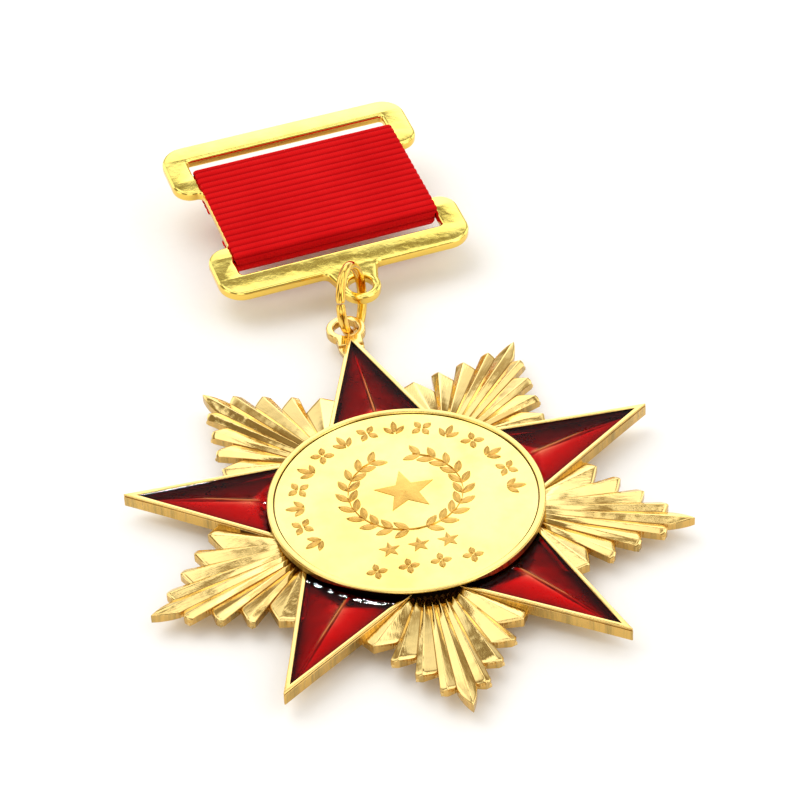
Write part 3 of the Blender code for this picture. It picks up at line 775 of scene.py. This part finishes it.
def ray(fan_turn, n, s):
    """The n-th roof-shaped ray, on side s, of a fan along +Y that is then turned."""
    def valley(k):
        root = RAY_ROOT_STEP * (k + 0.5) + (1.4 if k == 4 else 0.0)
        return (root, RAY_INNER_U), valley_foot(k)

    def cut(line, fraction):
        (x0, y0), (x1, y1) = line
        return line[0], (x0 + (x1 - x0) * fraction, y0 + (y1 - y0) * fraction)

    reach = FRONT_RAYS_R if abs(fan_turn) == 180 else UNDER_LIP_R
    outer = valley(n)
    if n == 0:
        inner = tuple((-x, y) for x, y in outer)
        crest = ((0.0, RAY_INNER_U), (0.0, TIP_R))
    else:
        before = valley(n - 1)
        inner = cut(before, (ray_end(n) - 0.25 - RAY_INNER_U) / (before[1][1] - RAY_INNER_U))
        crest = ((RAY_ROOT_STEP * n, RAY_INNER_U), (RAY_STEP_V * n, ray_end(n) + 0.1))

    def point(line, t):
        (x0, y0), (x1, y1) = line
        return x0 + (x1 - x0) * t, y0 + (y1 - y0) * t

    def from_hub(line):
        """Fraction along the line at which it leaves the recess."""
        low, high = 0.0, 0.4
        for _ in range(30):
            mid = (low + high) / 2
            x, y = point(line, mid)
            low, high = (mid, high) if hypot(x, y) < reach else (low, mid)
        return high

    across = (0.0, 0.05, 0.11, 0.19, 0.30, 0.5, 0.7, 0.85, 0.93, 1.0)
    length = hypot(crest[1][0] - crest[0][0], crest[1][1] - crest[0][1])
    along = [0.0, 0.012, 0.03, 0.1, 0.2, 0.3, 0.4, 0.5, 0.6, 0.7, 0.8, 0.87, 0.92]
    along += [1 - 0.55 / length, 1 - 0.30 / length, 1 - 0.14 / length, 1 - 0.04 / length, 1.0]
    drop = {len(along) - 1: 0.17, len(along) - 2: 0.12, len(along) - 3: 0.055, len(along) - 4: 0.015,
            0: 0.03, 1: 0.005}
    starts = [from_hub(line) for line in (inner, crest, outer)]
    lift = 0.02 * rng.uniform(-1, 1)
    lean = 0.03 * rng.uniform(-1, 1)
    bend = 0.02 * rng.uniform(-1, 1)
    twist = 0.05 * rng.uniform(-1, 1)
    top = []
    for r, t in enumerate(along):
        line = []
        sides = []
        for a, b in zip((inner, crest, outer), starts):
            sides.append(point(a, b + (1 - b) * t))
        z_crest = RAY_ROOT_Z + (RAY_TIP_Z - RAY_ROOT_Z) * t + lift + bend * sin(pi * t)
        for half, flank in ((-1, sides[0]), (1, sides[2])):
            steps = across[::-1][:-1] if half < 0 else across
            for b in steps:
                x = sides[1][0] + (flank[0] - sides[1][0]) * b
                y = sides[1][1] + (flank[1] - sides[1][1]) * b
                if n > 0 and t > 0.6:
                    back = (0.42 * max(0.0, (b - 0.45) / 0.55) ** 2 if half > 0 else
                            0.10 * max(0.0, (b - 0.6) / 0.4) ** 2) * (t - 0.6) / 0.4
                    y -= back
                if n == 0 and t > 0.86:
                    swell = 0.16 * 4 * b * (1 - b) * ((t - 0.86) / 0.14)
                    x += half * swell
                    y += swell * 0.4
                eps = 0.10
                shape = 1 - (sqrt(b * b + eps * eps) - eps) / (sqrt(1 + eps * eps) - eps)
                z = z_crest - RAY_VALLEY * (1 - shape) * (1 + 0.12 * half * lean * 10)
                z += twist * half * (1 - b) * b * 0.5
                z -= drop.get(r, 0.0)
                line.append((x, y, z))
        top.append(line)
    bottom = [[(x, y, 0.06) for x, y, z in row] for row in top]
    verts, faces = slab(top, bottom)
    if s < 0:
        verts = [(-x, y, z) for x, y, z in verts]
    return turned(verts, fan_turn), faces


def fan(i):
    """Nine rays, the middle one the longest, with painted shade in the creases between them."""
    verts, faces, kinds = [], [], []
    for n in range(5):
        for s in ((1,) if n == 0 else (1, -1)):
            v, f = ray(-36 - 72 * i, n, s)
            base = len(verts)
            verts += v
            faces += [tuple(base + k for k in face) for face in f]
            for k in range(len(f)):
                upper = k % 2 == 0 and k < 2 * RAY_ROWS * RAY_COLUMNS
                kinds.append(1 if upper and k // 2 % RAY_COLUMNS in (0, RAY_COLUMNS - 1) else 0)
    return build(f"ray_fan_{i + 1}", verts, faces, [ray_gold, crease_shade_gold], kinds, sharp=34)


def back_outline():
    """The star's whole outline, arm by arm, a hair inside the walls."""
    inset = 0.03
    scale = 1 - inset / 30
    half = []
    for k in range(4, 0, -1):
        half += [valley_foot(k), (RAY_STEP_V * k, ray_end(k) + 0.1)]
        root = RAY_ROOT_STEP * (k - 0.5)
        far = valley_foot(k - 1)
        t = (ray_end(k) - 0.25 - RAY_INNER_U) / (far[1] - RAY_INNER_U)
        half.append((root + (far[0] - root) * t, RAY_INNER_U + (far[1] - RAY_INNER_U) * t))
    half.append(valley_foot(0))
    edge = [(x * scale, y * scale, 0) for x, y in half + [(0.0, TIP_R)]]
    edge += [(-x, y, 0) for x, y, _ in reversed(edge[:-1])]
    points = []
    for i in range(5):
        points += turned([(0.0, apex(inset), 0)], 72 * i) + turned(edge, 72 * i + 36)
    return [(x, y) for x, y, _ in points]


def make_star():
    pieces = []
    for i in range(5):
        pieces += [arm_frame(i), arm_floor(i), fan(i)]
    verts, faces = revolve([(0, 0.05), (RECESS_R - 0.1, 0.05), (RECESS_R - 0.1, RECESS_FLOOR - 0.05),
                            (0, RECESS_FLOOR - 0.05)], 120)
    pieces.append(build("star_core", verts, faces, [gap_dark]))
    pieces.append(plate("star_back", [back_outline()], 0.0, 0.5, 0.05, [back_gold], steps=2))
    neck = arc(0, LUG_Y, LUG_R, -48, 228, 44) + [(-1.68, 33.5), (1.68, 33.5)]
    hole = arc(0, LUG_Y, LUG_HOLE_R, 0, 352.5, 47)
    pieces.append(plate("star_lug", [neck, hole], 0.0, LUG_T, 0.22, [star_gold]))
    foot = [(-1.7, 34.2), (-1.7, 33.2), (-1.2, 31.0), (1.2, 31.0), (1.7, 33.2), (1.7, 34.2)]
    pieces.append(plate("star_lug_foot", [foot], 0.0, POCKET_FLOOR - 0.06, 0.22, [star_gold]))
    for ob in pieces:
        hand_over(ob, "star", "star_body")
    for i in range(5):
        hand_over(arm_enamel(i), "star", f"enamel_{i + 1}")


# Materials of the disc, by place in the list
FIELD, FOOT, RIM, GROOVE, SIDE, UNDERSIDE = range(6)
FIELD_Z = 2.80


def make_disc():
    """Round plate with a raised rim on a smaller foot; its lip is thinnest at the front."""
    rim_in = DISC_R - 0.78
    lip = DISC_TOP - 0.18
    profile = [(0, RECESS_FLOOR + 0.05), (14.9, RECESS_FLOOR + 0.05), (15.0, RECESS_FLOOR + 0.15), (15.0, 1.97),
               (16.2, 1.98), (DISC_R - 0.14, 1.99), (DISC_R - 0.03, 2.03), (DISC_R, 2.12)]
    thin = len(profile)
    profile += arc(DISC_R - 0.18, lip, 0.18, 0, 90, 8)
    profile += arc(rim_in + 0.05, DISC_TOP - 0.05, 0.05, 90, 170, 3)
    profile += [(rim_in - 0.03, 2.84), (rim_in - 0.05, 2.66), (rim_in - 0.13, 2.66), (rim_in - 0.18, 2.79)]
    profile += [(12.0, FIELD_Z), (6.0, FIELD_Z), (0, FIELD_Z)]
    steps = 180
    verts, faces = revolve(profile, steps)
    for k, (x, y, z) in enumerate(verts):
        row = (k - 1) // steps + 1
        if 3 <= row < thin and k > 0:
            turn = abs(atan2(y, x) + radians(101)) / radians(33)
            peak = lip - 0.03 if row > 5 else 2.58
            verts[k] = (x, y, z + (peak - z) * exp(-turn ** 6))
    bands = [FIELD] * (len(profile) - 1)          # one material for each strip of the profile
    bands[2:5] = [FOOT, UNDERSIDE, UNDERSIDE]
    bands[thin - 3:thin] = [SIDE] * 3
    bands[thin:thin + 9] = [RIM] * 9
    bands[thin + 13:thin + 16] = [GROOVE] * 3
    # the foot, underside, side wall, rim and groove of the disc take darker colours than the field: painted
    # shade
    mats = [disc_gold, gap_dark, rim_shade_gold, groove_shade_gold, side_shade_gold, under_shade_gold]
    disc = build("disc_plate", verts, faces, mats, bands * steps, sharp=40)
    hand_over(disc, "star", "center_disc")

    marks = Marks(FIELD_Z)
    for k in range(15):
        a = radians(203 - 208 * k / 14)
        place = shift(13.35 * cos(a), 13.35 * sin(a)) @ spin(a - pi / 2)
        if k % 2:
            marks.four_leaves(place, pi / 4, 0.16, 1.50, 0.42)
        else:
            for side in (-1, 1):
                marks.leaf(place @ shift(side * 0.12, -0.95) @ spin(-side * 0.75), 0.0, 1.75, 0.36)
            marks.leaf(place @ shift(0, -0.7), 0.0, 2.10, 0.40)
    centre = shift(0.2, 1.3)
    marks.star(centre, 3.9, 1.65)
    for side in (-1, 1):
        for k in range(10):
            a = radians(-82 + 16.0 * k)
            root = shift(side * 7.0 * cos(a), 7.0 * sin(a))
            along = spin(side * a)
            for out in (-0.62, 0.62):
                marks.leaf(centre @ root @ along @ spin(side * out), 0.10, 2.35, 0.47)
            marks.leaf(centre @ root @ along, -1.1, 1.1, 0.07)
    for k in range(3):
        marks.star(shift(-3.9 + 3.6 * k, -8.6), 1.35, 0.58)
    for k in range(4):
        marks.four_leaves(shift(-6.2 + 3.9 * k, -12.0), 0.0, 0.12, 1.30, 0.40)
    marks.finish("disc_ornament")


class Marks:
    """Low ridged relief marks on the disc's field."""

    def __init__(self, field):
        self.field, self.verts, self.faces = field, [], []

    def ridge(self, place, outline, spine, rise=0.17):
        """Closed shell: an outline with sloping flanks up to a spine (one spine point per outline point)."""
        base = len(self.verts)
        m = len(outline)
        for z, pts in ((self.field - 0.04, outline), (self.field + 0.06, outline), (self.field + rise, spine)):
            for x, y in pts:
                p = place @ Vector((x, y, 0))
                self.verts.append((p.x, p.y, z))
        for k in range(m):
            l = (k + 1) % m
            self.faces.append((base + k, base + l, base + m + l, base + m + k))
            self.faces.append((base + m + k, base + m + l, base + 2 * m + l, base + 2 * m + k))
        self.faces.append(tuple(base + k for k in range(m))[::-1])
        self.faces.append(tuple(base + 2 * m + k for k in range(m)))

    def leaf(self, place, start, length, half):
        rows = 7
        outline, spine = [], []
        for k in range(rows + 1):
            t = k / rows
            outline.append((half * sin(pi * t) ** 0.8 + 0.01, start + (length - start) * t))
            spine.append((0.02, start + (length - start) * (0.06 + 0.88 * t)))
        for k in range(rows, -1, -1):
            t = k / rows
            outline.append((-half * sin(pi * t) ** 0.8 - 0.01, start + (length - start) * t))
            spine.append((-0.02, start + (length - start) * (0.06 + 0.88 * t)))
        self.ridge(place, outline[::-1], spine[::-1])

    def four_leaves(self, place, first, start, length, half):
        for k in range(4):
            self.leaf(place @ spin(first + pi / 2 * k), start, length, half)

    def star(self, place, r_out, r_in):
        outline, spine = [], []
        for k in range(10):
            a = pi / 2 + pi / 5 * k
            r = r_out if k % 2 == 0 else r_in
            outline.append((r * cos(a), r * sin(a)))
            spine.append((0.06 * cos(a), 0.06 * sin(a)))
        self.ridge(place, outline, spine, 0.20)

    def finish(self, name):
        hand_over(build(name, self.verts, self.faces, [mark_gold], sharp=12), "star")


# ---------------------------------------------------------------- bar, ribbon, ring

def make_bar():
    right = [(BAR_HALF_W, BAR_TOP, 3.3), (BAR_HALF_W, EAR_TOP_Y, 2.6), (WAIST_HALF_W, EAR_TOP_Y, 0.8),
             (WAIST_HALF_W, EAR_LOW_Y, 0.8), (BAR_HALF_W, EAR_LOW_Y, 2.6), (BAR_HALF_W, BAR_BOTTOM, 3.3),
             (3.6, BAR_BOTTOM, 0.9)]
    left = [(-x, y, r) for x, y, r in reversed(right)]
    tip = [(x, y, 0) for x, y in arc(0, BAR_LUG_Y, BAR_LUG_R, 10, -190, 40)]
    w = SLOT_HALF_W

    def slot(y0, y1):
        return rounded([(w, y0, 0.5), (w, y1, 0.5), (-w, y1, 0.5), (-w, y0, 0.5)], 5)

    loops = [rounded(right + tip + left), slot(WEB_HALF_H, SLOT_FAR), slot(SLOT_NEAR, -WEB_HALF_H),
             arc(0, BAR_LUG_Y, BAR_LUG_HOLE_R, 0, 352.5, 47)]
    bar = plate("bar_plate", loops, -BAR_T, 0.0, 0.45, [bar_gold], BAR)
    hand_over(bar, "ribbon_bar", "suspension_bar")


def make_ribbon():
    """Ribbed band: a closed strip that wraps the web, with real ribs on its outer face."""
    mid = -BAR_T / 2
    half_t = (BAR_T + 2 * RIBBON_LIFT) / 2        # inner half-height of the loop
    y_in = WEB_HALF_H + RIBBON_LIFT
    fold_r, power = 1.15, 0.62                    # size and squareness of the folds

    def corner(angle, out):
        c, s = cos(angle), sin(angle)
        ry = fold_r + out
        rz = half_t + out
        return (y_in - fold_r + ry * (abs(c) ** power) * (1 if c >= 0 else -1),
                mid + rz * (abs(s) ** power) * (1 if s >= 0 else -1))

    def rib(at):
        """Height of the rib surface, 0 in a groove and 1 on a rib, at a length along the ribbon."""
        return abs(sin(pi * at / pitch)) ** 0.55

    path = []
    for k in range(40):
        path.append(("flat", RIBBON_GAP + (y_in - fold_r - RIBBON_GAP) * k / 40, -1))
    for k in range(37):
        path.append(("turn", radians(-90 + 180 * k / 36), 1))
    for k in range(1, 100):
        path.append(("flat", (y_in - fold_r) * (1 - 2 * k / 100), 1))
    for k in range(37):
        path.append(("turn", radians(90 - 180 * k / 36), -1))
    for k in range(1, 41):
        path.append(("flat", -(y_in - fold_r) + (y_in - fold_r - RIBBON_GAP) * k / 40, -1))

    def place(step, out):
        kind, value, way = step
        if kind == "flat":
            return value, mid + way * (half_t + out)
        y, z = corner(value, out)
        return y * way, z

    run = [0.0]
    spots = [place(p, RIBBON_T) for p in path]
    for a, b in zip(spots, spots[1:]):
        run.append(run[-1] + hypot(b[0] - a[0], b[1] - a[1]))
    total = run[-1]
    pitch = total / round(total / RIB_PITCH)
    fine, samples = [], int(total / pitch * 9)
    j = 0
    for k in range(samples + 1):
        want = total * k / samples
        while j < len(run) - 2 and run[j + 1] < want:
            j += 1
        t = (want - run[j]) / max(run[j + 1] - run[j], 1e-9)
        inner_a, inner_b = place(path[j], 0.0), place(path[j + 1], 0.0)
        outer_a, outer_b = spots[j], spots[j + 1]
        fine.append((want, tuple(a + (b - a) * t for a, b in zip(inner_a, inner_b)),
                     tuple(a + (b - a) * t for a, b in zip(outer_a, outer_b))))
    outer, inner = [], []
    columns = [-1, -0.992, -0.98, -0.96, -0.9] + [-0.8 + 0.1 * k for k in range(17)]
    columns += [0.9, 0.96, 0.98, 0.992, 1]
    for want, (yi, zi), (yo, zo) in fine:
        crest = rib(want)
        rise = min(1.0, max(0.0, (zo + 0.25) / 0.6))
        rise = rise * rise * (3 - 2 * rise)
        front = zo > mid
        half = 14.14 + 0.30 * rise
        centre = 0.16 * rise
        row_o, row_i = [], []
        for s in columns:
            near = max(0.0, (abs(s) - 0.97) / 0.03)
            x = centre + s * half + (0.05 * (crest - 0.5) * (1 if s > 0 else -1) if abs(s) > 0.985 else 0.0)
            share = 1.0 - 0.15 * (1 - crest) / RIBBON_T - 0.38 * near * near
            wobble = 0.02 * wave(x, want, 0.0, 0.25)
            row_o.append((x, yi + (yo - yi) * share, zi + (zo - zi) * share + (wobble if front else 0.0)))
            row_i.append((x, yi + (yo - yi) * 0.30 * near * near, zi + (zo - zi) * 0.30 * near * near))
        outer.append(row_o)
        inner.append(row_i)
    verts, faces = slab(outer, inner)
    ribbon = build("ribbon_band", verts, faces, [cloth], sharp=70, place=BAR)
    # the groove value stored on each point marks where painted shade darkens the ribbon
    shade = ribbon.data.attributes.new("groove", "FLOAT", "POINT")
    across = [Vector(spot) * MM for _, _, spot in fine]
    hollow = [1 - rib(want) for want, _, _ in fine]
    back_to_bar = BAR.inverted()
    for v in ribbon.data.vertices:
        at = back_to_bar @ v.co
        flat = Vector((at.y, at.z))
        nearest = min(zip(across, hollow), key=lambda pair: (pair[0] - flat).length_squared)
        shade.data[v.index].value = nearest[1]
    hand_over(ribbon, "ribbon_bar", "ribbon")


def make_ring():
    """Wire ring whose two cut ends almost meet."""
    sections = []
    steps, gap = 96, 1.1
    for k in range(steps + 1):
        a = radians(gap + (360 - 2 * gap) * k / steps + 150)
        near = min(k, steps - k)
        r = WIRE_R * (0.80 if near == 0 else (0.96 if near == 1 else 1.0))
        section = []
        for m in range(20):
            b = 2 * pi * m / 20
            reach = RING_R + r * cos(b)
            section.append((reach * cos(a), reach * sin(a), r * sin(b)))
        sections.append(section)
    verts, faces = sweep(sections)
    ring = build("ring_wire", verts, faces, [ring_gold], sharp=50, place=RING)
    hand_over(ring, "ring", "jump_ring")


def dress_pin():
    """The pin's small CAD parts keep their shape and get fuller materials."""
    for node, mat in (("pin_base", pin_gold), ("hinge_rivet", pin_gold), ("catch_rotor", pin_gold),
                      ("pin_needle", needle_steel)):
        mesh = frame["nodes"][node].data
        mesh.materials.clear()
        mesh.materials.append(mat)


# ---------------------------------------------------------------- studio

def make_table():
    """Plain white paper under the medal."""
    n = Nodes("paper")
    pos = n.coords()
    grain = n.noise(pos, 900.0, 3.0, 0.6)
    body = n.principled(Base_Color=n.mix(grain, (0.90, 0.895, 0.885), (0.93, 0.925, 0.915)), Roughness=0.85)
    n.put(body.inputs["Normal"], n.bump(grain, 0.05, 0.00005))
    paper = n.finish(body.outputs[0])
    bm = bmesh.new()
    bmesh.ops.create_grid(bm, x_segments=24, y_segments=24, size=2.5)
    mesh = bpy.data.meshes.new("table")
    bm.to_mesh(mesh)
    bm.free()
    mesh.materials.append(paper)
    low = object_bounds()[0].z
    table = link("table", mesh)
    table.location.z = low - 0.02 * MM


def make_world():
    """A white room: bright windows and dark bands for the gold to mirror, and even light for the rest."""
    n = Nodes("studio", world=True)
    split = n.add("SeparateXYZ")
    n.put(split.inputs[0], n.add("TexCoord").outputs["Generated"])
    east, north, height = split.outputs
    turn = n.math("ARCTAN2", east, north)

    def below(low, high):
        return n.math("SUBTRACT", 1.0, n.step(height, low, high))

    def swing(times, start, low, high):
        """Pattern round the room that swings between 0 and 1."""
        return n.step(n.math("SINE", n.plus(n.times(turn, times), start)), low, high)

    apart = n.math("ABSOLUTE", n.math("SUBTRACT", turn, 0.17))
    ahead = n.math("SUBTRACT", 1.0, n.step(apart, 0.45, 0.95))
    band = n.times(n.step(height, 0.36, 0.52), below(0.750, 0.775))
    high = n.times(n.step(height, 0.795, 0.83), below(0.93, 0.97))
    mid = n.times(n.plus(0.10, n.times(swing(6.0, 0.0, -0.4, 0.4), 0.95)), below(0.62, 0.80))
    above = n.times(n.plus(0.14, n.times(swing(5.0, 1.2, -0.3, 0.3), 0.90)), n.step(height, 0.93, 0.97))
    total = n.plus(0.22, mid)
    for part, strength in ((n.times(ahead, band), 0.80), (below(0.12, 0.30), 0.50), (high, 1.25), (above, 1.0)):
        total = n.plus(total, n.times(part, strength))

    even = n.plus(0.70, n.times(n.step(north, -0.45, 0.35), 0.42))
    rays = n.add("Mix")
    n.put(rays.inputs[0], n.add("LightPath").outputs["Is Diffuse Ray"])
    n.put(rays.inputs[2], total)
    n.put(rays.inputs[3], even)
    back = n.add("Background")
    n.put(back.inputs[0], n.mix(n.step(rays.outputs[0], 0.15, 0.90), (1.0, 0.74, 0.38), (1.0, 0.985, 0.96)))
    n.put(back.inputs[1], rays.outputs[0])
    bpy.context.scene.world = n.finish(back.outputs[0])


def make_lights():
    def area(name, at, size, power, colour=(1, 1, 1)):
        light = bpy.data.lights.new(name, "AREA")
        light.shape = "RECTANGLE"
        light.size, light.size_y = size
        light.energy = power
        light.color = colour
        ob = link(name, light)
        ob.location = at
        ob.rotation_euler = (Vector(at) - Vector((0.0, 0.02, 0.0))).to_track_quat("Z", "Y").to_euler()
        return ob

    key = area("key", (-0.45, 0.55, 1.05), (1.1, 1.1), 6.0, (1.0, 0.99, 0.97))
    key.visible_glossy = False
    lamp = area("lamp", (0.02, 0.62, 1.02), (0.30, 0.14), 60.0)       # only for glints on the enamel
    lamp.visible_diffuse = False
    glazed = bpy.data.collections.new("glazed")
    for ob in bpy.context.scene.objects:
        if ob.name.startswith("enamel_glaze"):
            glazed.objects.link(ob)
    lamp.light_linking.receiver_collection = glazed
    area("fill", (0.75, -0.35, 0.7), (0.9, 0.9), 2.0)


def make_camera():
    """Camera in the photo's place."""
    cam_data = bpy.data.cameras.new("camera")
    cam_data.lens, cam_data.sensor_width = 136.1, 36.0
    cam_data.clip_start = 0.01
    cam = link("camera", cam_data)
    az, el, roll = radians(-10.41), radians(39.27), radians(-3.126)
    back_dir = Vector((sin(az) * cos(el), -cos(az) * cos(el), sin(el)))
    right = (-back_dir).cross(Vector((0, 0, 1))).normalized()
    up = right.cross(-back_dir).normalized()
    side = cos(roll) * right + sin(roll) * up
    top = -sin(roll) * right + cos(roll) * up
    look = Vector((3.93, 21.97, 0.0)) * MM
    cam.matrix_world = basis(side, top, back_dir, look + back_dir * 386.9 * MM)
    bpy.context.scene.camera = cam
    bpy.context.scene.view_settings.view_transform = "Standard"


make_star()
make_disc()
make_bar()
make_ribbon()
make_ring()
dress_pin()
make_table()
make_world()
make_lights()
make_camera()
